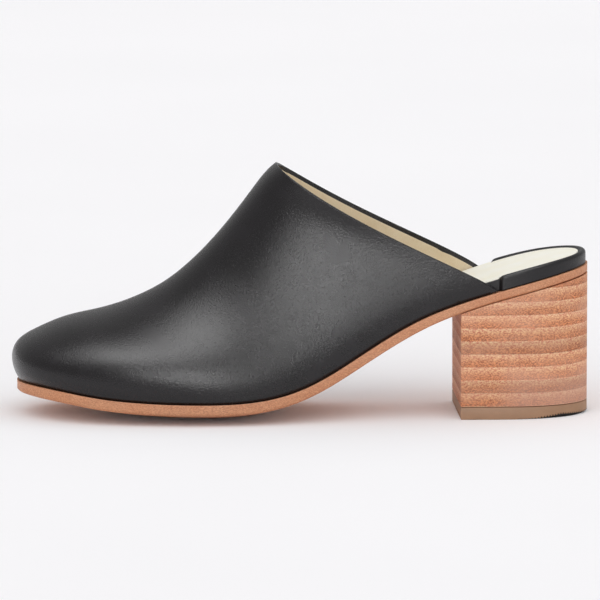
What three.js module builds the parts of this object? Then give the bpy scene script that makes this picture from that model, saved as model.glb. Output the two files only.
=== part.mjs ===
// Closed-toe mule on a block heel. Left shoe, in millimetres.
// The toe points to -X, the outer side to -Y, and +Z is up. The floor is z = 0.
// Every long piece is swept through the same rows, which run from the toe tip (row 0) to the back.
import * as THREE from 'three';

// Driving dimensions.
const gap = 0.3;                // clearance between neighbouring pieces
const wall = 2.0;               // upper leather together with its lining
const featherInset = 0.9;       // the sole edge stands this far outside the upper
const randInset = 0.8;          // and this far outside the wrapped insole at the seat
const soleEdgeBevel = 0.7;      // broken lower edge of the outsole
const rimWidth = 3.2;           // rounded rim of the insole around the seat
const rimRings = [0, 0.3, 0.65, 1];   // rings that round the rim over, as shares of its width
const rimSink = [0.6, 0, 0.2, 1];     // how far each ring lies below its top, as shares of rimDrop
const rimDrop = 1.4;            // the sock lies this far below the rim
const flareRows = [0.02, 0.1];  // rows behind the topline where the insole widens to the rim
const heelBreast = 65.5;        // front face of the heel
const liftHeight = 5.2;         // rubber top piece
const heelTaper = 0.94;         // width of the heel at the floor over its width at the seat
const stepsPerRow = 4;          // facets between two rows of a table
const ribSteps = 10;            // facets of the upper from the sole to the crest, each side
const insoleSteps = [40, 2, 19];      // facets along the insole: covered, flaring out, and the seat
const heelSteps = 24;           // facets along the heel, from its front face to its back

// The sole's outline, and its upper face along the middle. The crown is how far the edges rise.
const soleRows = [
  { x: -117.9, lateral: 5.0, medial: 5.0, bed: 14.0, crown: 0.0, thick: 4.3 },
  { x: -115.7, lateral: -7.6, medial: 17.0, bed: 14.0, crown: 0.3, thick: 4.4 },
  { x: -109.2, lateral: -18.8, medial: 27.5, bed: 13.3, crown: 0.9, thick: 4.6 },
  { x: -98.5, lateral: -27.6, medial: 35.2, bed: 11.3, crown: 1.8, thick: 4.6 },
  { x: -84.5, lateral: -33.8, medial: 39.4, bed: 8.1, crown: 3.1, thick: 4.6 },
  { x: -68.0, lateral: -37.8, medial: 41.0, bed: 5.5, crown: 4.4, thick: 4.5 },
  { x: -50.0, lateral: -40.0, medial: 40.3, bed: 4.1, crown: 5.2, thick: 4.4 },
  { x: -31.0, lateral: -40.2, medial: 37.3, bed: 4.15, crown: 5.2, thick: 4.4 },
  { x: -12.0, lateral: -38.0, medial: 32.7, bed: 7.7, crown: 3.7, thick: 4.6 },
  { x: 7.0, lateral: -34.4, medial: 28.5, bed: 16.3, crown: 1.8, thick: 4.7 },
  { x: 27.0, lateral: -30.8, medial: 26.0, bed: 29.4, crown: 0.6, thick: 4.8 },
  { x: 47.0, lateral: -28.2, medial: 25.8, bed: 41.4, crown: 0.0, thick: 4.5 },
  { x: 65.0, lateral: -27.0, medial: 26.6, bed: 48.5, crown: 0.0, thick: 3.9 },
  { x: 81.0, lateral: -27.2, medial: 27.2, bed: 53.5, crown: 0.0, thick: 3.7 },
  { x: 96.0, lateral: -26.3, medial: 26.3, bed: 57.5, crown: 0.0, thick: 3.7 },
  { x: 108.5, lateral: -21.2, medial: 21.2, bed: 60.4, crown: 0.0, thick: 3.7 },
  { x: 117.1, lateral: -12.0, medial: 12.0, bed: 62.1, crown: 0.0, thick: 3.7 },
  { x: 120.0, lateral: 0.0, medial: 0.0, bed: 62.6, crown: 0.0, thick: 3.7 },
];

// The crest of the upper, over the same rows up to the topline. Row 0 is the toe tip itself.
const crestRows = [
  { x: -117.0, y: 5.0, z: 14.3 },
  { x: -119.3, y: 5.0, z: 19.0 },
  { x: -120.0, y: 5.2, z: 25.0 },
  { x: -116.9, y: 5.6, z: 31.0 },
  { x: -108.6, y: 6.0, z: 35.8 },
  { x: -97.2, y: 6.3, z: 40.4 },
  { x: -83.3, y: 6.3, z: 43.6 },
  { x: -68.8, y: 6.0, z: 48.5 },
  { x: -55.3, y: 5.4, z: 55.9 },
  { x: -42.8, y: 4.7, z: 66.6 },
  { x: -31.8, y: 4.0, z: 78.8 },
  { x: -22.3, y: 3.3, z: 91.1 },
  { x: -15.2, y: 2.7, z: 100.5 },
  { x: -10.3, y: 2.2, z: 105.0 },
];

// How each rib of the upper bends on its way from the sole to the crest, from toe to topline.
// lean and rise are shares of the way to the crest along X and Z at the first and second handle,
// swell is how far the first handle stands out, flank and top are shares of the half width,
// and lift is how much higher both handles are on the inner side of the foot.
const ribRows = [
  { lean1: 0.2, rise1: 0.41, lean2: 0.72, rise2: 0.78, swell: 1.5, flank: 0.86, top: 0.5, lift: 0 },
  { lean1: 0.2, rise1: 0.41, lean2: 0.68, rise2: 0.78, swell: 2.4, flank: 0.9, top: 0.5, lift: 0.3 },
  { lean1: 0.2, rise1: 0.42, lean2: 0.6, rise2: 0.77, swell: 3.0, flank: 0.9, top: 0.48, lift: 0.8 },
  { lean1: 0.2, rise1: 0.36, lean2: 0.57, rise2: 0.69, swell: 3.2, flank: 0.84, top: 0.54, lift: 1.2 },
  { lean1: 0.15, rise1: 0.25, lean2: 0.66, rise2: 0.63, swell: 4.0, flank: 0.73, top: 0.8, lift: 1.8 },
  { lean1: 0.08, rise1: 0.16, lean2: 0.79, rise2: 0.568, swell: 4.5, flank: 0.56, top: 1.3, lift: 2.4 },
];

// Height of the insole's rim over the outsole, along the rows of the sole.
const insoleRows = [3.6, 3.6, 3.6, 3.6, 3.6, 3.7, 3.8, 3.8, 4.2, 4.8, 5.4, 6.0, 6.4, 6.6, 6.5, 6.1, 5.8, 5.7];

const lastRow = soleRows.length - 1;
const toplineRow = crestRows.length - 1;

// A cubic spline through values one row apart; a level end has no slope there.
function spline(values, levelStart = false, levelEnd = false) {
  const last = values.length - 1;
  const upper = new Array(last + 1).fill(0);
  const bend = new Array(last + 1).fill(0);
  if (levelStart) {
    upper[0] = 0.5;
    bend[0] = 3 * (values[1] - values[0]);
  }
  for (let i = 1; i < last; i++) {
    const pivot = 4 - upper[i - 1];
    upper[i] = 1 / pivot;
    bend[i] = (6 * (values[i - 1] - 2 * values[i] + values[i + 1]) - bend[i - 1]) / pivot;
  }
  if (levelEnd) {
    bend[last] = (-6 * (values[last] - values[last - 1]) - bend[last - 1]) / (2 - upper[last - 1]);
  }
  for (let i = last - 1; i >= 0; i--) {
    bend[i] -= upper[i] * bend[i + 1];
  }
  return (row) => {
    const i = Math.min(Math.max(Math.floor(row), 0), last - 1);
    const after = row - i;
    const before = 1 - after;
    const curve = (before ** 3 - before) * bend[i] + (after ** 3 - after) * bend[i + 1];
    return before * values[i] + after * values[i + 1] + curve / 6;
  };
}

const column = (rows, name) => rows.map((row) => row[name]);

const soleX = spline(column(soleRows, 'x'), true, true);
const soleSide = {
  lateral: spline(column(soleRows, 'lateral')),
  medial: spline(column(soleRows, 'medial')),
};
const soleBed = spline(column(soleRows, 'bed'), true, true);
const soleCrown = spline(column(soleRows, 'crown'), true, true);
const soleThick = spline(column(soleRows, 'thick'));
const insoleHeight = spline(insoleRows);

const crest = {
  x: spline(column(crestRows, 'x')),
  y: spline(column(crestRows, 'y')),
  z: spline(column(crestRows, 'z')),
};

const rib = {};
for (const name of Object.keys(ribRows[0])) {
  rib[name] = spline(column(ribRows, name));
}

// A point of the sole's outline moved inwards, with the outward direction there.
function edgePoint(side, row, inset) {
  const step = 0.01;
  const from = Math.max(row - step, 0);
  const to = Math.min(row + step, lastRow);
  const along = new THREE.Vector2(soleX(to) - soleX(from), soleSide[side](to) - soleSide[side](from));
  if (row <= step) {
    along.set(0, side === 'lateral' ? -1 : 1);
  }
  if (row >= lastRow - step) {
    along.set(0, side === 'lateral' ? 1 : -1);
  }
  along.normalize();
  const turn = side === 'lateral' ? 1 : -1;
  const out = new THREE.Vector2(along.y * turn, -along.x * turn);
  return {
    x: soleX(row) - out.x * inset,
    y: soleSide[side](row) - out.y * inset,
    out,
  };
}

// Height of the outsole's upper face at any place across a row.
function bedHeight(row, y) {
  const middle = (soleSide.lateral(row) + soleSide.medial(row)) / 2;
  const half = Math.max((soleSide.medial(row) - soleSide.lateral(row)) / 2, 1);
  const across = (y - middle) / half;
  return soleBed(row) + soleCrown(row) * across * across;
}

// The outsole's lower face is ground flat where it meets the floor.
function treadHeight(row, y) {
  return Math.max(bedHeight(row, y) - soleThick(row), 0);
}

// A closed solid between two grids of the same size, stitched along their borders.
// Rows run towards +X and columns towards +Y, and the first grid is the upper one.
// A row that comes back on itself closes its own end, so no wall is made there.
function solidBetween(top, bottom) {
  const rows = top.length;
  const columns = top[0].length;
  const positions = [];
  const index = [];
  const known = new Map();
  const vertex = (point) => {
    const key = [point.x, point.y, point.z].map((value) => Math.round(value * 1000)).join();
    if (!known.has(key)) {
      known.set(key, positions.length / 3);
      positions.push(point.x, point.y, point.z);
    }
    return known.get(key);
  };
  const triangle = (a, b, c) => {
    if (a !== b && b !== c && c !== a) {
      index.push(a, b, c);
    }
  };
  const quad = (a, b, c, d) => {
    const [i, j, k, l] = [a, b, c, d].map(vertex);
    triangle(i, j, k);
    triangle(i, k, l);
  };
  for (let r = 0; r < rows - 1; r++) {
    for (let c = 0; c < columns - 1; c++) {
      quad(top[r][c], top[r + 1][c], top[r + 1][c + 1], top[r][c + 1]);
      quad(bottom[r][c], bottom[r][c + 1], bottom[r + 1][c + 1], bottom[r + 1][c]);
    }
    const end = columns - 1;
    quad(bottom[r][0], bottom[r + 1][0], top[r + 1][0], top[r][0]);
    quad(bottom[r + 1][end], bottom[r][end], top[r][end], top[r + 1][end]);
  }
  const isOpen = (row) => row[0].distanceTo(row[columns - 1]) > 0.001;
  for (let c = 0; c < columns - 1; c++) {
    const end = rows - 1;
    if (isOpen(top[0])) {
      quad(bottom[0][c + 1], bottom[0][c], top[0][c], top[0][c + 1]);
    }
    if (isOpen(top[end])) {
      quad(bottom[end][c], bottom[end][c + 1], top[end][c + 1], top[end][c]);
    }
  }
  const geometry = new THREE.BufferGeometry();
  geometry.setAttribute('position', new THREE.Float32BufferAttribute(positions, 3));
  geometry.setIndex(index);
  geometry.computeVertexNormals();
  return geometry;
}

// Row numbers from one row to another, with even steps between.
function rowSteps(from, to, steps = Math.round((to - from) * stepsPerRow)) {
  return Array.from({ length: steps + 1 }, (_, i) => from + ((to - from) * i) / steps);
}

// A line across one row: rings that follow the edge at given insets, and even shares between.
function lineAcross(row, insets, shares) {
  const left = insets.map((inset) => edgePoint('lateral', row, inset));
  const right = insets.map((inset) => edgePoint('medial', row, inset)).reverse();
  const [from, to] = [left[left.length - 1], right[0]];
  const between = shares.map((share) => ({
    x: THREE.MathUtils.lerp(from.x, to.x, share),
    y: THREE.MathUtils.lerp(from.y, to.y, share),
  }));
  return [...left, ...between, ...right];
}

// Outsole: the sole's whole outline, a level tread under the ball, and a broken lower edge.
function outsole() {
  const shares = [0.1, 0.24, 0.38, 0.5, 0.62, 0.76, 0.9];
  const top = [];
  const bottom = [];
  for (const row of rowSteps(0, lastRow)) {
    const line = lineAcross(row, [0, soleEdgeBevel], shares);
    const edges = [0, line.length - 1];
    const lift = (i) => (edges.includes(i) ? soleEdgeBevel : 0);
    top.push(line.map(({ x, y }) => new THREE.Vector3(x, y, bedHeight(row, y))));
    bottom.push(line.map(({ x, y }, i) => new THREE.Vector3(x, y, treadHeight(row, y) + lift(i))));
  }
  return solidBetween(top, bottom);
}

// One half of a rib, as the handles of a curve from the sole's edge to the crest.
function ribHandles(side, row) {
  const shape = (row / toplineRow) * (ribRows.length - 1);
  const foot = edgePoint(side, row, featherInset);
  const footZ = bedHeight(row, foot.y) + gap;
  const peak = new THREE.Vector3(crest.x(row), crest.y(row), crest.z(row));
  if (row === 0) {
    peak.set(foot.x, foot.y, footZ);
  }
  const reach = foot.y - peak.y;
  const [dx, dz] = [peak.x - foot.x, peak.z - footZ];
  const swell = Math.min(rib.swell(shape), dz / 4);
  const lift = side === 'medial' ? rib.lift(shape) : 0;
  return [
    new THREE.Vector3(foot.x, foot.y, footZ),
    new THREE.Vector3(
      foot.x + rib.lean1(shape) * dx + foot.out.x * swell,
      foot.y + foot.out.y * swell,
      footZ + rib.rise1(shape) * dz + lift,
    ),
    new THREE.Vector3(
      foot.x + rib.lean2(shape) * dx,
      peak.y + rib.flank(shape) * reach,
      footZ + rib.rise2(shape) * dz + lift,
    ),
    new THREE.Vector3(peak.x, peak.y + rib.top(shape) * reach, peak.z),
    peak,
  ];
}

// A point on a curve pulled by any number of handles.
function bezierPoint(handles, share) {
  let points = handles;
  while (points.length > 1) {
    points = points.slice(1).map((point, i) => points[i].clone().lerp(point, share));
  }
  return points[0];
}

// The upper's outer face: across runs from -1 at the outer sole edge over the crest to 1.
function upperPoint(row, across) {
  const side = across < 0 ? 'lateral' : 'medial';
  return bezierPoint(ribHandles(side, row), 1 - Math.abs(across));
}

// The direction out of the upper's face, from two short steps along it.
function upperNormal(row, across) {
  const step = 0.02;
  const row0 = Math.max(row - step, step);
  const row1 = Math.min(row0 + 2 * step, toplineRow);
  const across0 = Math.max(across - step, -1);
  const across1 = Math.min(across + step, 1);
  const middle = Math.max(row, step);
  const along = upperPoint(row1, across).sub(upperPoint(row0, across));
  const over = upperPoint(middle, across1).sub(upperPoint(middle, across0));
  return along.cross(over).normalize();
}

// Upper: one hollow wall, open underneath and at the back, with its foot cut level to the sole.
function upper() {
  const outer = [];
  const inner = [];
  for (const row of rowSteps(0, toplineRow)) {
    const outerRib = [];
    const innerRib = [];
    for (let c = -ribSteps; c <= ribSteps; c++) {
      const across = c / ribSteps;
      const point = upperPoint(row, across);
      const inward = upperNormal(row, across).multiplyScalar(-wall);
      if (row === 0) {
        inward.set(wall, 0, 0);
      }
      if (Math.abs(c) === ribSteps) {
        inward.setZ(0).setLength(wall);
      }
      outerRib.push(point);
      innerRib.push(point.clone().add(inward));
    }
    outer.push(outerRib);
    inner.push(innerRib);
  }
  return solidBetween(outer, inner);
}

// Insole: level inside the upper, then out to the sole's edge with a rounded rim standing over it.
function insole() {
  const insideInset = featherInset + wall + gap;
  const [flareStart, flareEnd] = flareRows.map((row) => toplineRow + row);
  const [covered, flaring, seat] = insoleSteps;
  const shares = [0.2, 0.5, 0.8];
  const top = [];
  const bottom = [];
  const rows = [
    ...rowSteps(0, toplineRow, covered),
    ...rowSteps(flareStart, flareEnd, flaring),
    ...rowSteps(flareEnd, lastRow, seat).slice(1),
  ];
  for (const row of rows) {
    const open = THREE.MathUtils.smoothstep(row, flareStart, flareEnd);
    const inset = THREE.MathUtils.lerp(insideInset, randInset, open);
    const line = lineAcross(row, rimRings.map((share) => inset + share * rimWidth), shares);
    const ringSink = (i) => rimSink[Math.min(i, line.length - 1 - i)] ?? 1;
    const sink = (i) => rimDrop * THREE.MathUtils.lerp(1, ringSink(i), open);
    const height = insoleHeight(row);
    top.push(line.map(({ x, y }, i) => new THREE.Vector3(x, y, bedHeight(row, y) + height - sink(i))));
    bottom.push(line.map(({ x, y }) => new THREE.Vector3(x, y, bedHeight(row, y) + gap)));
  }
  return solidBetween(top, bottom);
}

// Heel outline at one place: full width at the seat, narrower towards the floor.
function heelPoint(row, share, height) {
  const seat = soleBed(row);
  const taper = THREE.MathUtils.lerp(heelTaper, 1, height / seat);
  const [y0, y1] = [soleSide.lateral(row), soleSide.medial(row)];
  return new THREE.Vector3(soleX(row), THREE.MathUtils.lerp(y0, y1, share) * taper, height);
}

// The row that lies at the heel's front face.
function breastRow() {
  let [from, to] = [0, lastRow];
  while (to - from > 1e-6) {
    const middle = (from + to) / 2;
    if (soleX(middle) < heelBreast) {
      from = middle;
    } else {
      to = middle;
    }
  }
  return to;
}

// A slice of the heel between two heights, each given as a function of the row.
function heelSlice(lower, higher) {
  const shares = [0, 0.25, 0.5, 0.75, 1];
  const rows = rowSteps(breastRow(), lastRow, heelSteps);
  const top = rows.map((row) => shares.map((share) => heelPoint(row, share, higher(row))));
  const bottom = rows.map((row) => shares.map((share) => heelPoint(row, share, lower(row))));
  return solidBetween(top, bottom);
}

function heelStack() {
  return heelSlice(() => liftHeight + gap, (row) => treadHeight(row, 0) - gap);
}

function topLift() {
  return heelSlice(() => 0, () => liftHeight);
}

function piece(name, geometry, color, roughness) {
  const material = new THREE.MeshStandardMaterial({ color, roughness, metalness: 0 });
  const mesh = new THREE.Mesh(geometry, material);
  mesh.name = name;
  return mesh;
}

const shoe = new THREE.Group();
shoe.add(piece('upper', upper(), '#3b383a', 0.5));
shoe.add(piece('outsole', outsole(), '#b27c5d', 0.7));
shoe.add(piece('insole', insole(), '#3a3638', 0.55));
shoe.add(piece('heel_stack', heelStack(), '#c0875f', 0.65));
shoe.add(piece('top_lift', topLift(), '#a7826b', 0.8));

export default shoe;
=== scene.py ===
import math

import bmesh
import bpy
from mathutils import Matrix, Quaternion, Vector
from mathutils.kdtree import KDTree


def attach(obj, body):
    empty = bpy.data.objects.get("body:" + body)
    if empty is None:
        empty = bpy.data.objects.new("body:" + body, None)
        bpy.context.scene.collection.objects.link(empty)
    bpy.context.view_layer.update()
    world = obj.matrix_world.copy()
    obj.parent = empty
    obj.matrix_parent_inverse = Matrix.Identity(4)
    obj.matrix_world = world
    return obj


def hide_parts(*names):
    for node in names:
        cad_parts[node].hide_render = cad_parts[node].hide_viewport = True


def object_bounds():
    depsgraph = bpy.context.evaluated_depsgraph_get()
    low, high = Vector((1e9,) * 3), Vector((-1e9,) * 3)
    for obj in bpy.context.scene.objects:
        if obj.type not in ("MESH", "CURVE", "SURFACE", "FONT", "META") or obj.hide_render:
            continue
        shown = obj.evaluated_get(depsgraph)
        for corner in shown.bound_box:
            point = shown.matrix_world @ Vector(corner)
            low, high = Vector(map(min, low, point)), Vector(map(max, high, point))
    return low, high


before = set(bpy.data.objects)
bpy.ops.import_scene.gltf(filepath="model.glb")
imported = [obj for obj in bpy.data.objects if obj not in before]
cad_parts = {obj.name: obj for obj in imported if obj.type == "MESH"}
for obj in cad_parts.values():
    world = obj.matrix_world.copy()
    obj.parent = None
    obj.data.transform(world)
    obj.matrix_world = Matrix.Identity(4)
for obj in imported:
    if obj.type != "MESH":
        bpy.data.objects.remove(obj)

# Closed-toe mule on a stacked leather heel. Toe towards -X, outer side towards -Y, metres.
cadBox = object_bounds()
mm = 0.001

print("stage: camera and studio")

viewpoint = {
    "azimuth": -3.0,      # degrees round the shoe; 0 looks straight at its outer side
    "elevation": 8.2,     # degrees above the floor
    "distance": 3.2,      # metres, a long lens from far off
    "aim": (0.0, 0.0, 0.04712),
    "lens": 460.8,        # mm, on a sensor 36 mm wide
}


def directionTo(azimuth, elevation):
    turn = math.radians(azimuth)
    rise = math.radians(elevation)
    return Vector((math.sin(turn) * math.cos(rise), -math.cos(turn) * math.cos(rise), math.sin(rise)))


def aimAt(thing, place, target):
    thing.location = place
    thing.rotation_mode = "QUATERNION"
    thing.rotation_quaternion = (Vector(target) - Vector(place)).to_track_quat("-Z", "Y")


def makeCamera():
    lens = bpy.data.cameras.new("camera")
    lens.sensor_width = 36.0
    lens.lens = viewpoint["lens"]
    lens.clip_start = 0.05
    lens.clip_end = 60.0
    camera = bpy.data.objects.new("camera", lens)
    bpy.context.scene.collection.objects.link(camera)
    target = Vector(viewpoint["aim"])
    back = directionTo(viewpoint["azimuth"], viewpoint["elevation"])
    aimAt(camera, target + back * viewpoint["distance"], target)
    bpy.context.scene.camera = camera


# Big round soft lights far away, so that the floor is lit evenly. Spread is how wide each looks from
# the shoe, in degrees, and bright is its radiance, where the lit floor is about 0.9. The first two are
# panels that show only as gloss, the others light what is matt.
studio = {
    "above": {"azimuth": -25, "elevation": 73, "spread": 44, "bright": 2.4, "lights": "gloss"},
    "front": {"azimuth": -9, "elevation": 64, "spread": 36, "bright": 2.5, "lights": "gloss"},
    "daylight": {"azimuth": -14, "elevation": 46, "spread": 60, "bright": 0.6, "lights": "matt"},
    "behind": {"azimuth": 170, "elevation": 50, "spread": 60, "bright": 0.3, "lights": "matt"},
}
# A leaning strip light near the instep that only the gloss of the leather shows.
strip = {
    "place": (-0.044, -0.53, 0.225),
    "wide": 0.058,        # metres
    "tall": 0.26,
    "towards": 0.06,      # metres, the height on the shoe that it faces
    "lean": 30,           # degrees, its top towards the toe
    "bright": 21.5,
}
room = {
    "matt": 0.77,         # grey of the room around the lights, as it lights matt surfaces
    "front": 0.42,        # as gloss shows it before the shoe
    "rear": 0.45,         # and behind it
    "depth": 0.7,         # how far round to each side, from 0 to 1, those two are reached
}


def makeLights():
    for name, soft in studio.items():
        light = bpy.data.lights.new(name, "SUN")
        light.angle = math.radians(soft["spread"])
        light.energy = soft["bright"] * 2 * math.pi * (1 - math.cos(light.angle / 2))
        lamp = bpy.data.objects.new(name, light)
        bpy.context.scene.collection.objects.link(lamp)
        aimAt(lamp, directionTo(soft["azimuth"], soft["elevation"]), (0.0, 0.0, 0.0))
        lamp.visible_diffuse = soft["lights"] == "matt"
        lamp.visible_glossy = soft["lights"] == "gloss"


def makeStrip():
    light = bpy.data.lights.new("strip", "AREA")
    light.shape = "RECTANGLE"
    light.size = strip["wide"]
    light.size_y = strip["tall"]
    light.energy = strip["bright"] * math.pi * strip["wide"] * strip["tall"]
    lamp = bpy.data.objects.new("strip", light)
    bpy.context.scene.collection.objects.link(lamp)
    aimAt(lamp, strip["place"], (strip["place"][0], 0.0, strip["towards"]))
    lamp.rotation_quaternion = lamp.rotation_quaternion @ Quaternion((0, 0, 1), math.radians(strip["lean"]))
    lamp.visible_camera = False
    lamp.visible_diffuse = False


def linear(code):
    shades = [int(code[i:i + 2], 16) / 255 for i in (1, 3, 5)]
    return tuple(s / 12.92 if s <= 0.04045 else ((s + 0.055) / 1.055) ** 2.4 for s in shades) + (1.0,)


def addNode(tree, kind, inputs=None, stops=None, **settings):
    node = tree.nodes.new("ShaderNode" + kind)
    for name, value in settings.items():
        setattr(node, name, value)
    for key, value in (inputs or {}).items():
        if isinstance(value, bpy.types.NodeSocket):
            tree.links.new(value, node.inputs[key])
        else:
            node.inputs[key].default_value = value
    for i, (place, shade) in enumerate(stops or []):
        spot = node.color_ramp.elements[i] if i < 2 else node.color_ramp.elements.new(place)
        spot.position = place
        spot.color = shade
    return node


def newMaterial(name):
    material = bpy.data.materials.new(name)
    material.use_nodes = True
    tree = material.node_tree
    tree.nodes.clear()
    return material, tree


def inMillimetres(tree, stretch=(1.0, 1.0, 1.0)):
    coords = addNode(tree, "TexCoord")
    scale = tuple(1000.0 * s for s in stretch)
    mapped = addNode(tree, "Mapping", {"Vector": coords.outputs["Object"], "Scale": scale})
    return mapped.outputs["Vector"]


def grey(value):
    return (value, value, value, 1.0)


def makeWorld():
    world = bpy.data.worlds.new("room")
    bpy.context.scene.world = world
    world.use_nodes = True
    tree = world.node_tree
    tree.nodes.clear()
    path = addNode(tree, "LightPath")
    coords = addNode(tree, "TexCoord")
    split = addNode(tree, "SeparateXYZ", {"Vector": coords.outputs["Generated"]})
    depth = addNode(tree, "MapRange", {"Value": split.outputs["Y"],
                                       "From Min": -room["depth"], "From Max": room["depth"],
                                       "To Min": room["front"], "To Max": room["rear"]})
    gloss = addNode(tree, "Background", {"Color": depth.outputs[0]})
    matt = addNode(tree, "Background", {"Color": grey(room["matt"])})
    seen = addNode(tree, "Background", {"Color": linear("#f6f5f7")})
    around = addNode(tree, "MixShader", {0: path.outputs["Is Glossy Ray"],
                                         1: matt.outputs[0], 2: gloss.outputs[0]})
    pick = addNode(tree, "MixShader", {0: path.outputs["Is Camera Ray"],
                                       1: around.outputs[0], 2: seen.outputs[0]})
    addNode(tree, "OutputWorld", {"Surface": pick.outputs[0]})


floorReach = 9.0          # metres from its middle to its edge


def makeFloor():
    form = bmesh.new()
    bmesh.ops.create_grid(form, x_segments=2, y_segments=2, size=floorReach)
    mesh = bpy.data.meshes.new("floor")
    form.to_mesh(mesh)
    form.free()
    floor = bpy.data.objects.new("floor", mesh)
    bpy.context.scene.collection.objects.link(floor)
    material, tree = newMaterial("matt_white_board")
    place = inMillimetres(tree)
    cloud = addNode(tree, "TexNoise", {"Vector": place, "Scale": 1 / 300.0, "Detail": 2.0})
    tone = addNode(tree, "ValToRGB", {"Fac": cloud.outputs[0]},
                   [(0.3, linear("#fbfafc")), (0.7, linear("#fdfcfe"))])
    skin = addNode(tree, "BsdfDiffuse", {"Color": tone.outputs[0], "Roughness": 0.5})
    addNode(tree, "OutputMaterial", {"Surface": skin.outputs[0]})
    mesh.materials.append(material)


makeCamera()
makeLights()
makeStrip()
makeWorld()
makeFloor()
bpy.context.scene.view_settings.view_transform = "Standard"

print("stage: shaping tools")


# A merged copy of a CAD node's mesh, with its triangles joined into a grid of quads. Triangles that
# fan out from one crowded point stay as they are. Evenness favours a regular grid over square faces.
def castOf(node, evenness=1.5):
    form = bmesh.new()
    form.from_mesh(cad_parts[node].data)
    bmesh.ops.remove_doubles(form, verts=form.verts, dist=0.001 * mm)
    crowd = 10            # edges that meet in such a point
    bend = 45             # degrees; triangles that fold more are never joined
    loose = [f for f in form.faces if max(len(v.link_edges) for v in f.verts) < crowd]
    bmesh.ops.join_triangles(form, faces=loose, angle_face_threshold=math.radians(bend),
                             angle_shape_threshold=math.pi, topology_influence=evenness)
    return form


# The faces that can be reached from a seed face without crossing an edge sharper than the limit.
def patchFrom(seed, limit):
    found = {seed}
    waiting = [seed]
    while waiting:
        face = waiting.pop()
        for side in face.edges:
            for other in side.link_faces:
                if other not in found and face.normal.angle(other.normal, 0.0) < math.radians(limit):
                    found.add(other)
                    waiting.append(other)
    return found


def keepOnly(form, faces):
    others = [f for f in form.faces if f not in faces]
    bmesh.ops.delete(form, geom=others, context="FACES")


def sharpEdges(form, limit):
    return [e for e in form.edges if len(e.link_faces) == 2 and e.calc_face_angle() > math.radians(limit)]


# Runs one modifier on a form and gives back the result.
def modified(form, kind, **settings):
    mesh = bpy.data.meshes.new("rough")
    form.to_mesh(mesh)
    form.free()
    rough = bpy.data.objects.new("rough", mesh)
    bpy.context.scene.collection.objects.link(rough)
    modifier = rough.modifiers.new(kind, kind)
    for name, value in settings.items():
        setattr(modifier, name, value)
    graph = bpy.context.evaluated_depsgraph_get()
    result = bmesh.new()
    result.from_mesh(rough.evaluated_get(graph).to_mesh())
    bpy.data.objects.remove(rough)
    bpy.data.meshes.remove(mesh)
    return result


# Whether an edge rises by most of its own length.
def isUpright(edge):
    return abs(edge.verts[0].co.z - edge.verts[1].co.z) > 0.8 * edge.calc_length()


fineness = 2              # levels of smoothing in every piece


# Catmull-Clark smoothing, with every edge sharper than the limit kept as a crisp one. Upright edges
# can have a lower limit of their own.
def refined(form, levels, limit=180, uprightLimit=180):
    crease = form.edges.layers.float.new("crease_edge")
    crisp = sharpEdges(form, limit) + [e for e in sharpEdges(form, uprightLimit) if isUpright(e)]
    for edge in crisp:
        edge[crease] = 1.0
    fine = modified(form, "SUBSURF", levels=levels, render_levels=levels, boundary_smooth="PRESERVE_CORNERS")
    fine.edges.layers.float.remove(fine.edges.layers.float["crease_edge"])
    return fine


# Gives an open sheet its thickness on the inner side.
def thickened(form, thickness):
    return modified(form, "SOLIDIFY", thickness=thickness * mm, offset=-1.0, use_even_offset=False)


def roundEdges(form, edges, width, steps=3):
    bmesh.ops.bevel(form, geom=edges, offset=width * mm, offset_type="OFFSET", segments=steps,
                    profile=0.5, affect="EDGES", clamp_overlap=True, material=-1)


# Crisp is the angle in degrees past which the shading breaks at an edge.
def finishPiece(form, name, material, nodes=(), crisp=None):
    mesh = bpy.data.meshes.new(name)
    form.normal_update()
    form.to_mesh(mesh)
    form.free()
    mesh.materials.append(material)
    mesh.polygons.foreach_set("use_smooth", [True] * len(mesh.polygons))
    if crisp:
        mesh.set_sharp_from_angle(angle=math.radians(crisp))
    piece = bpy.data.objects.new(name, mesh)
    bpy.context.scene.collection.objects.link(piece)
    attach(piece, "root")
    if nodes:
        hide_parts(*nodes)
    print("made", name, len(mesh.polygons), "faces")
    return piece


# Stores each vertex's distance in mm to a line of points, for the materials to read.
def markDistance(form, name, points, reach=12.0):
    tree = KDTree(len(points))
    for i, point in enumerate(points):
        tree.insert(point, i)
    tree.balance()
    layer = form.verts.layers.float.get(name) or form.verts.layers.float.new(name)
    for vertex in form.verts:
        vertex[layer] = min(tree.find(vertex.co)[2] / mm, reach)
    return layer


print("stage: leather and rubber")


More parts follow.
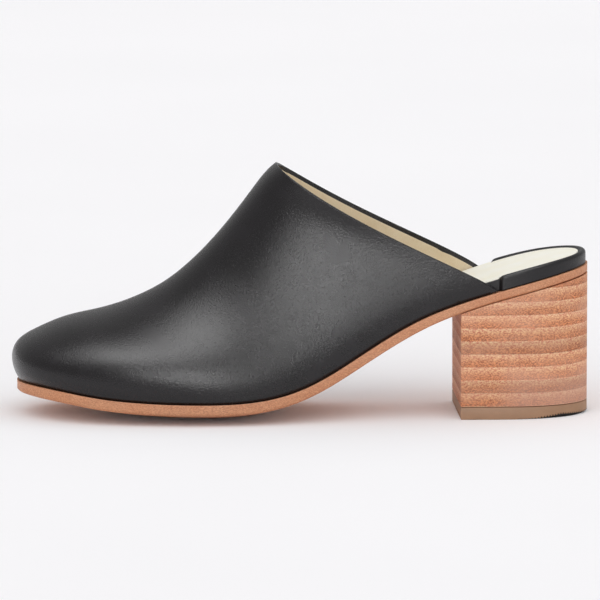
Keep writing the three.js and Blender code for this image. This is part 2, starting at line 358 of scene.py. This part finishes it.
def makeCalf(name, shade, sheen):
    # Aniline calf, glazed then brushed: near black, fine even grain, a broad soft sheen. Its hair cells
    # are about 0.2 mm across, and they are drawn three times as coarse so that they show.
    material, tree = newMaterial(name)
    place = inMillimetres(tree)
    drift = addNode(tree, "TexNoise", {"Vector": place, "Scale": 1 / 14.0, "Detail": 3.0})
    grain = addNode(tree, "TexNoise", {"Vector": place, "Scale": 1 / 0.6, "Detail": 2.0, "Roughness": 0.6})
    pores = addNode(tree, "TexVoronoi", {"Vector": place, "Scale": 1 / 0.9, "Randomness": 1.0})
    tone = addNode(tree, "ValToRGB", {"Fac": drift.outputs[0]},
                   [(0.3, linear(shade[0])), (0.7, linear(shade[1]))])
    fleck = addNode(tree, "Mix", {0: 0.3, 6: tone.outputs[0], 7: grain.outputs[0]},
                    data_type="RGBA", blend_type="OVERLAY")
    handled = addNode(tree, "MapRange", {"Value": drift.outputs[0], "From Min": 0.3, "From Max": 0.7,
                                         "To Min": sheen - 0.02, "To Max": sheen + 0.03})
    pitted = addNode(tree, "MapRange", {"Value": pores.outputs["Distance"], "From Min": 0.0,
                                        "From Max": 0.3, "To Min": 0.1, "To Max": 0.0})
    rough = addNode(tree, "Math", {0: handled.outputs[0], 1: pitted.outputs[0]}, operation="ADD")
    relief = addNode(tree, "Bump", {"Strength": 1.0, "Distance": 0.00013, "Height": grain.outputs[0]})
    skin = addNode(tree, "BsdfPrincipled", {
        "Base Color": fleck.outputs[2], "Roughness": rough.outputs[0], "IOR": 1.5,
        "Normal": relief.outputs[0]})
    addNode(tree, "OutputMaterial", {"Surface": skin.outputs[0]})
    return material


liningLook = {
    "cutAndHighlightFrom": 2.1,       # mm from the topline, where the pale cut edge, with its painted highlight, ends
    "cutAndHighlightTo": 2.45,        # and where the face has its full colour
}


def makeLining():
    # Undyed lining leather, milled: matt tan, soft nap, faint blotches, and a paler cut edge that also
    # carries a painted highlight.
    material, tree = newMaterial("milled_lining_leather")
    place = inMillimetres(tree)
    drift = addNode(tree, "TexNoise", {"Vector": place, "Scale": 1 / 9.0, "Detail": 4.0})
    nap = addNode(tree, "TexNoise", {"Vector": place, "Scale": 1 / 0.5, "Detail": 5.0, "Roughness": 0.7})
    tone = addNode(tree, "ValToRGB", {"Fac": drift.outputs[0]},
                   [(0.3, linear("#dac6a4")), (0.7, linear("#e3d2b4"))])
    worn = addNode(tree, "Mix", {0: 0.3, 6: tone.outputs[0], 7: nap.outputs[0]},
                   data_type="RGBA", blend_type="OVERLAY")
    rim = addNode(tree, "Attribute", attribute_name="toTopline")
    edge = addNode(tree, "MapRange", {"Value": rim.outputs["Fac"],
                                      "From Min": liningLook["cutAndHighlightFrom"], "From Max": liningLook["cutAndHighlightTo"],
                                      "To Min": 1.0, "To Max": 0.0})
    # The pale top edge is the paler raw cut edge, with the highlight it catches painted in.
    cutEdgeAndHighlight = addNode(tree, "Mix", {0: edge.outputs[0], 6: worn.outputs[2], 7: linear("#eadfd2")},
                  data_type="RGBA")
    relief = addNode(tree, "Bump", {"Strength": 0.5, "Distance": 0.0001, "Height": nap.outputs[0]})
    skin = addNode(tree, "BsdfPrincipled", {
        "Base Color": cutEdgeAndHighlight.outputs[2], "Roughness": 0.78, "IOR": 1.45, "Sheen Weight": 0.15,
        "Sheen Roughness": 0.5, "Normal": relief.outputs[0]})
    addNode(tree, "OutputMaterial", {"Surface": skin.outputs[0]})
    return material


def makeSockLeather():
    # Finished goat sock leather: cream, smooth, with a faint grain, drawn coarser so that it shows.
    material, tree = newMaterial("cream_sock_leather")
    place = inMillimetres(tree)
    drift = addNode(tree, "TexNoise", {"Vector": place, "Scale": 1 / 11.0, "Detail": 3.0})
    pores = addNode(tree, "TexVoronoi", {"Vector": place, "Scale": 1 / 0.7},
                    feature="DISTANCE_TO_EDGE")
    tone = addNode(tree, "ValToRGB", {"Fac": drift.outputs[0]},
                   [(0.3, linear("#fdf9e8")), (0.7, linear("#fffdf2"))])
    relief = addNode(tree, "Bump", {"Strength": 0.5, "Distance": 0.00006,
                                    "Height": pores.outputs["Distance"]})
    skin = addNode(tree, "BsdfPrincipled", {
        "Base Color": tone.outputs[0], "Roughness": 0.6, "IOR": 1.47, "Normal": relief.outputs[0]})
    addNode(tree, "OutputMaterial", {"Surface": skin.outputs[0]})
    return material


def makeSoleLeather():
    # Oak-bark tanned sole leather, edge sanded and waxed: tan with pale and reddish fibre ends. The ends
    # are about 0.3 mm wide, here and in the heel, and are drawn at 0.65 to 0.8 mm so that they show.
    material, tree = newMaterial("tanned_sole_leather")
    place = inMillimetres(tree, (1.0, 1.0, 2.2))
    fibre = addNode(tree, "TexNoise", {"Vector": place, "Scale": 1 / 0.8, "Detail": 5.0, "Roughness": 0.7})
    drift = addNode(tree, "TexNoise", {"Vector": place, "Scale": 1 / 16.0, "Detail": 3.0})
    tone = addNode(tree, "ValToRGB", {"Fac": fibre.outputs[0]},
                   [(0.34, linear("#9c5a36")), (0.66, linear("#ecb488")), (0.5, linear("#cb8a62"))])
    wash = addNode(tree, "ValToRGB", {"Fac": drift.outputs[0]},
                   [(0.3, linear("#cf9a78")), (0.7, linear("#bf7750"))])
    mixed = addNode(tree, "Mix", {0: 0.35, 6: tone.outputs[0], 7: wash.outputs[0]}, data_type="RGBA")
    relief = addNode(tree, "Bump", {"Strength": 0.5, "Distance": 0.00012, "Height": fibre.outputs[0]})
    skin = addNode(tree, "BsdfPrincipled", {
        "Base Color": mixed.outputs[2], "Roughness": 0.55, "IOR": 1.5, "Normal": relief.outputs[0]})
    addNode(tree, "OutputMaterial", {"Surface": skin.outputs[0]})
    return material


heelLook = {
    "lift": 5.45,         # mm, thickness of one leather lift
    "bottom": 5.5,        # mm, where the lowest lift starts
    "lighterLow": 10.0,    # mm above the floor, up to where the rear is palest
    "lighterHigh": 24.0,   # and where the paling ends
    "lighterFront": 80.0,  # mm from the middle of the shoe, where it starts
    "lighterRear": 92.0,   # and from where it is full
}


def makeStack():
    # Stacked sole leather, sanded and waxed: each lift darker and redder below, paler above, with a
    # pale joint line under it, and the low rear paler and pinker.
    material, tree = newMaterial("stacked_heel_leather")
    place = inMillimetres(tree)
    split = addNode(tree, "SeparateXYZ", {"Vector": place})
    wave = addNode(tree, "TexNoise", {"Vector": place, "Scale": 1 / 22.0, "Detail": 2.0})
    bend = addNode(tree, "MapRange", {"Value": wave.outputs[0], "To Min": -0.25, "To Max": 0.25})
    height = addNode(tree, "Math", {0: split.outputs["Z"], 1: bend.outputs[0]}, operation="ADD")
    above = addNode(tree, "Math", {0: height.outputs[0], 1: heelLook["bottom"]}, operation="SUBTRACT")
    count = addNode(tree, "Math", {0: above.outputs[0], 1: heelLook["lift"]}, operation="DIVIDE")
    within = addNode(tree, "Math", {0: count.outputs[0]}, operation="FRACT")
    number = addNode(tree, "Math", {0: count.outputs[0]}, operation="FLOOR")
    chance = addNode(tree, "TexWhiteNoise", {"W": number.outputs[0]}, noise_dimensions="1D")
    fibre = addNode(tree, "TexNoise", {"Vector": inMillimetres(tree, (0.8, 0.8, 1.3)), "Scale": 1 / 0.65,
                                       "Detail": 3.0, "Roughness": 0.7})
    ends = addNode(tree, "ValToRGB", {"Fac": fibre.outputs[0]}, [(0.39, grey(0.02)), (0.61, grey(0.98))])
    drift = addNode(tree, "TexNoise", {"Vector": inMillimetres(tree, (0.5, 0.5, 1.6)), "Scale": 1 / 9.0,
                                       "Detail": 4.0})
    band = addNode(tree, "ValToRGB", {"Fac": within.outputs[0]},
                   [(0.0, linear("#f0c09c")), (0.06, linear("#c0764e")), (0.45, linear("#ca845a")),
                    (0.75, linear("#dba078")), (0.97, linear("#e2ac86"))])
    speck = addNode(tree, "Mix", {0: 0.58, 6: band.outputs[0], 7: ends.outputs[0]},
                    data_type="RGBA", blend_type="OVERLAY")
    pale = addNode(tree, "MapRange", {"Value": drift.outputs[0], "From Min": 0.35, "From Max": 0.7,
                                      "To Min": 0.0, "To Max": 0.45})
    washed = addNode(tree, "Mix", {0: pale.outputs[0], 6: speck.outputs[2], 7: linear("#dba78b")},
                     data_type="RGBA")
    # The rear is made paler and pinker towards the floor.
    low = addNode(tree, "MapRange", {"Value": split.outputs["Z"], "From Min": heelLook["lighterLow"],
                                     "From Max": heelLook["lighterHigh"], "To Min": 0.5, "To Max": 0.0})
    rear = addNode(tree, "MapRange", {"Value": split.outputs["X"], "From Min": heelLook["lighterFront"],
                                      "From Max": heelLook["lighterRear"], "To Min": 0.0, "To Max": 1.0})
    lighterLowRear = addNode(tree, "Math", {0: low.outputs[0], 1: rear.outputs[0]}, operation="MULTIPLY")
    withLighterLowRear = addNode(tree, "Mix", {0: lighterLowRear.outputs[0], 6: washed.outputs[2], 7: linear("#cfa593")},
                       data_type="RGBA")
    shift = addNode(tree, "MapRange", {"Value": chance.outputs["Value"], "To Min": 0.86, "To Max": 1.08})
    varied = addNode(tree, "HueSaturation", {"Value": shift.outputs[0], "Color": withLighterLowRear.outputs[2]})
    relief = addNode(tree, "Bump", {"Strength": 0.5, "Distance": 0.00012, "Height": fibre.outputs[0]})
    skin = addNode(tree, "BsdfPrincipled", {
        "Base Color": varied.outputs[0], "Roughness": 0.65, "IOR": 1.45, "Normal": relief.outputs[0]})
    addNode(tree, "OutputMaterial", {"Surface": skin.outputs[0]})
    return material


def makeLiftRubber():
    # Moulded rubber top piece: tan, matt, with faint mould bloom, and painted shade, near black, in the
    # set-in recess under its ground-away back.
    material, tree = newMaterial("moulded_tan_rubber")
    place = inMillimetres(tree)
    bloom = addNode(tree, "TexNoise", {"Vector": place, "Scale": 1 / 7.0, "Detail": 4.0})
    grit = addNode(tree, "TexNoise", {"Vector": place, "Scale": 1 / 0.5, "Detail": 3.0})
    tone = addNode(tree, "ValToRGB", {"Fac": bloom.outputs[0]},
                   [(0.3, linear("#9d785b")), (0.7, linear("#ab8465"))])
    # The recess is painted near black, as the shade that falls in it under the overhang.
    hollow = addNode(tree, "Attribute", attribute_name="inRecess")
    recessPaintedShade = addNode(tree, "Mix", {0: hollow.outputs["Fac"], 6: tone.outputs[0], 7: linear("#0d0a09")},
                     data_type="RGBA")
    relief = addNode(tree, "Bump", {"Strength": 0.4, "Distance": 0.00005, "Height": grit.outputs[0]})
    skin = addNode(tree, "BsdfPrincipled", {
        "Base Color": recessPaintedShade.outputs[2], "Roughness": 0.6, "IOR": 1.52, "Normal": relief.outputs[0]})
    addNode(tree, "OutputMaterial", {"Surface": skin.outputs[0]})
    return material


upperCalf = makeCalf("glazed_calf_leather", ("#100d0f", "#161216"), 0.255)
randCalf = makeCalf("wrapped_rand_leather", ("#141315", "#1a181b"), 0.38)
liningLeather = makeLining()
sockLeather = makeSockLeather()
soleLeather = makeSoleLeather()
stackLeather = makeStack()
liftRubber = makeLiftRubber()

print("stage: upper")

vampCut = {
    "leather": 1.4,       # mm, skived leather folded over on itself
    "fold": 0.55,         # mm, radius of the folded topline
    "lining": 0.55,       # mm
    "hem": 1.8,           # mm of folded leather left showing inside, above the lining
    "gap": 0.04,          # mm between leather and lining
    "hidden": 1.5,        # mm of lining left off under the insole
    "turn": 40,           # degrees; the outer face ends where it turns more sharply
    "rim": 50,            # degrees; the topline's edges that get rounded are sharper
    "rimReach": 2.5,      # mm from the topline, within which they lie
    "samples": 8,         # points on each edge of the topline to measure from
}


# The upper's outer face as one open sheet, its topline vertices marked.
def lastSkin():
    form = castOf("upper", 1.1)
    seed = min(form.faces, key=lambda f: f.calc_center_median().y)
    skin = patchFrom(seed, vampCut["turn"])
    onTopline = form.verts.layers.float.new("onTopline")
    for face in skin:
        for edge in face.edges:
            beyond = [f for f in edge.link_faces if f not in skin]
            if beyond and beyond[0].normal.z > -0.5:  # the feather edge underneath faces down
                for vertex in edge.verts:
                    vertex[onTopline] = 1.0
    keepOnly(form, skin)
    return refined(form, fineness)


def toplineOf(form):
    mark = form.verts.layers.float["onTopline"]
    return [e for e in form.edges if e.is_boundary and all(v[mark] > 0.99 for v in e.verts)]


# Walks straight down the sheet from a topline vertex until it is past the reach.
def columnDown(vertex, edge, distance, reach):
    line = [vertex]
    while True:
        vertex = edge.other_vert(vertex)
        line.append(vertex)
        ahead = [e for e in vertex.link_edges if not set(e.link_faces) & set(edge.link_faces)]
        if len(ahead) != 1 or vertex[distance] > reach:
            return line
        edge = ahead[0]


# Draws the sheet's rear border back from the topline by the hem, easing out over the reach.
def drawBack(form, distance, hem, reach):
    edges = toplineOf(form)
    moved = {}
    for vertex in {v for e in edges for v in e.verts}:
        first = [e for e in vertex.link_edges if e not in edges]
        line = columnDown(vertex, first[0], distance, reach)
        depths = [v[distance] for v in line]
        places = [v.co.copy() for v in line]
        for i, depth in enumerate(depths):
            wanted = hem + depth * (reach - hem) / reach
            j = next((k for k in range(1, len(line)) if depths[k] >= wanted), None)
            if depth < reach and j:
                share = (wanted - depths[j - 1]) / (depths[j] - depths[j - 1])
                moved[line[i]] = places[j - 1].lerp(places[j], share)
    for vertex, place in moved.items():
        vertex.co = place


def pushAlongNormals(form, distance):
    form.normal_update()
    for vertex, normal in [(v, v.normal.copy()) for v in form.verts]:
        vertex.co += normal * distance * mm


def makeVamp():
    form = lastSkin()
    edges = toplineOf(form)
    samples = vampCut["samples"]
    topline = [e.verts[0].co.lerp(e.verts[1].co, i / samples) for e in edges for i in range(samples)]
    feather = [v.co.copy() for v in form.verts
               if v.is_boundary and not any(e in edges for e in v.link_edges)]
    inner = form.copy()
    form = thickened(form, vampCut["leather"])
    distance = markDistance(form, "toTopline", topline)
    rims = [e for e in sharpEdges(form, vampCut["rim"])
            if all(v[distance] < vampCut["rimReach"] for v in e.verts)]
    roundEdges(form, rims, vampCut["fold"])
    markDistance(form, "toTopline", topline)
    finishPiece(form, "vamp", upperCalf, ["upper"])
    makeVampLining(inner, topline, feather)


def makeVampLining(form, topline, feather):
    distance = markDistance(form, "toTopline", topline)
    drawBack(form, distance, vampCut["hem"], 4 * vampCut["hem"])
    rise = markDistance(form, "toFeather", feather)
    hidden = [f for f in form.faces if min(v[rise] for v in f.verts) < vampCut["hidden"]]
    bmesh.ops.delete(form, geom=hidden, context="FACES")
    form.verts.layers.float.remove(form.verts.layers.float["toFeather"])
    pushAlongNormals(form, -vampCut["leather"] - vampCut["gap"])
    form = thickened(form, vampCut["lining"])
    markDistance(form, "toTopline", topline)
    finishPiece(form, "vamp_lining", liningLeather)


makeVamp()

print("stage: insole and sole")

insoleCut = {
    "tall": 1.5,          # mm; upright edges longer than this are divided
    "cuts": 3,
    "crisp": 60,          # degrees; sharper edges stay crisp
    "crispUpright": 25,   # and so do upright ones sharper than this
}


def makeInsole():
    form = castOf("insole", 1.3)
    upright = [e for e in form.edges if isUpright(e) and e.calc_length() > insoleCut["tall"] * mm]
    bmesh.ops.subdivide_edges(form, edges=upright, cuts=insoleCut["cuts"], use_grid_fill=True)
    form = refined(form, fineness, insoleCut["crisp"], insoleCut["crispUpright"])
    finishPiece(form, "wrapped_insole", randCalf, ["insole"])


sockCut = {
    "thick": 0.45,        # mm
    "raise": 0.02,        # mm over the board
    "seat": (0.095, 0.0, 0.0625),  # metres, a place on the board to start from
    "turn": 24,           # degrees; the sock ends where the board turns more sharply
    "level": 0.8,         # how far up its faces point: 0.825 at the least in the arch, less down the side
    "crisp": 60,          # degrees; edges that get rounded are sharper
    "edge": 0.15,         # mm, their rounding
}


def makeSock():
    form = castOf("insole", 1.3)
    seat = Vector(sockCut["seat"])
    seed = min(form.faces, key=lambda f: (f.calc_center_median() - seat).length)
    keepOnly(form, {f for f in patchFrom(seed, sockCut["turn"]) if f.normal.z > sockCut["level"]})
    form = refined(form, fineness)
    pushAlongNormals(form, sockCut["thick"] + sockCut["raise"])
    form = thickened(form, sockCut["thick"])
    roundEdges(form, sharpEdges(form, sockCut["crisp"]), sockCut["edge"], 2)
    finishPiece(form, "sock", sockLeather)


soleCut = {
    "crisp": 30,          # degrees; sharper edges stay crisp, then get rounded
    "edge": 0.25,         # mm, their rounding
}


def makeOutsole():
    form = castOf("outsole", 1.3)
    form = refined(form, fineness, soleCut["crisp"])
    roundEdges(form, sharpEdges(form, soleCut["crisp"]), soleCut["edge"], 2)
    finishPiece(form, "leather_sole", soleLeather, ["outsole"])


heelCut = {
    "crisp": 40,          # degrees; sharper edges stay crisp, then get rounded
    "edge": 0.3,          # mm, their rounding
}


def makeHeel():
    form = castOf("heel_stack")
    form = refined(form, fineness, heelCut["crisp"])
    roundEdges(form, sharpEdges(form, heelCut["crisp"]), heelCut["edge"], 2)
    finishPiece(form, "stacked_heel", stackLeather, ["heel_stack"])


liftCut = {
    "height": 5.2,        # mm
    "corner": 0.25,       # mm, broken edges
    "step": 0.125,        # mm between the points round the outline
    "flare": 1.0055,      # width at the top over the width at the floor
    "from": 89.0,         # mm from the middle of the shoe, where the ground-away back starts
    "deepest": 108.0,     # mm, where it is highest
    "rise": 2.3,          # mm, its height there
    "behind": 0.7,        # share of the height left at the very back
    "recess": 1.0,        # mm, how far it is set in
    "pitch": 1.3,         # mm between the rounded teeth along its upper edge
    "tooth": 0.9,         # mm, how far each hangs down
    "recessEase": 0.3,    # mm of height over which the recess sets in
    "toothEase": 0.6,     # and over which the teeth grow
    "apart": 0.01,        # mm, least height between one ring of points and the next
    "crisp": 40,          # degrees; sharper edges of the cast stay crisp
    "shading": 50,        # degrees; sharper edges of the piece show as crisp
}


# The ring of points round the lower face, in order and evenly spaced.
def outlineOf(form, spacing):
    rim = {e for e in sharpEdges(form, liftCut["crisp"]) if all(v.co.z < 0.01 * mm for v in e.verts)}
    vertex = min((v for e in rim for v in e.verts), key=lambda v: (round(v.co.x, 4), v.co.y))
    ring = [vertex.co.copy()]
    while rim:
        edge = next((e for e in vertex.link_edges if e in rim), None)
        if edge is None:
            break
        rim.discard(edge)
        vertex = edge.other_vert(vertex)
        ring.append(vertex.co.copy())
    lengths = [(b - a).length for a, b in zip(ring, ring[1:])]
    count = round(sum(lengths) / (spacing * mm))
    points = []
    i = 0
    passed = 0.0
    for k in range(count):
        wanted = k * sum(lengths) / count
        while passed + lengths[i] < wanted:
            passed += lengths[i]
            i += 1
        points.append(ring[i].lerp(ring[i + 1], (wanted - passed) / lengths[i]))
    return points


# Height in mm of the ground-away part at a place along the shoe.
def groundAway(x):
    if x < liftCut["from"]:
        return 0.0
    if x < liftCut["deepest"]:
        return liftCut["rise"] * (x - liftCut["from"]) / (liftCut["deepest"] - liftCut["from"])
    share = (x - liftCut["deepest"]) / (cadBox[1][0] / mm - liftCut["deepest"])
    return liftCut["rise"] * (1 - (1 - liftCut["behind"]) * share)


def makeLift():
    cast = refined(castOf("top_lift"), fineness, liftCut["crisp"])
    points = outlineOf(cast, liftCut["step"])
    cast.free()
    count = len(points)
    area = sum(a.x * b.y - b.x * a.y for a, b in zip(points, points[1:] + points[:1]))
    turn = 1 if area > 0 else -1
    reach = 4             # points to each side that the outward direction is taken over
    outward = []
    for i in range(count):
        along = points[(i + reach) % count] - points[i - reach]
        outward.append(Vector((along.y, -along.x, 0.0)).normalized() * turn)
    form = bmesh.new()
    bmesh.ops.create_circle(form, segments=count, radius=0.05)
    # Marks the recess, where the rubber's colour paints its shade near black.
    inRecess = form.verts.layers.float.new("inRecess")
    ring = list(form.verts)
    for level in range(6):
        if level:
            made = bmesh.ops.extrude_edge_only(form, edges=sides)["geom"]
            below = ring
            fresh = {v for v in made if isinstance(v, bmesh.types.BMVert)}
            ring = [next(e.other_vert(v) for e in v.link_edges if e.other_vert(v) in fresh) for v in below]
        sides = [form.edges.get((ring[i - 1], ring[i])) for i in range(count)]
        for i, vertex in enumerate(ring):
            x = points[i].x / mm
            ground = groundAway(x)
            recess = min(ground / liftCut["recessEase"], 1.0) * liftCut["recess"]
            tooth = abs(math.sin(math.pi * i * liftCut["step"] / liftCut["pitch"])) * liftCut["tooth"]
            lip = max(ground - tooth * min(ground / liftCut["toothEase"], 1.0), liftCut["corner"])
            inset, height = [
                (recess + liftCut["corner"], 0.0),
                (recess, min(liftCut["corner"], lip - 2 * liftCut["apart"])),
                (recess, lip),
                (0.0, lip + liftCut["apart"]),
                (0.0, liftCut["height"] - liftCut["corner"]),
                (liftCut["corner"], liftCut["height"]),
            ][level]
            place = points[i] - outward[i] * inset * mm
            wide = 1 + (liftCut["flare"] - 1) * height / liftCut["height"]
            vertex.co = Vector((place.x, place.y * wide, height * mm))
            vertex[inRecess] = 1.0 if level < 3 and ground > 0 else 0.0
        if level in (0, 5):
            bmesh.ops.contextual_create(form, geom=ring)
    bmesh.ops.triangulate(form, faces=[f for f in form.faces if len(f.verts) > 4])
    bmesh.ops.recalc_face_normals(form, faces=form.faces)
    finishPiece(form, "rubber_lift", liftRubber, ["top_lift"], liftCut["shading"])


makeInsole()
makeSock()
makeOutsole()
makeHeel()
makeLift()
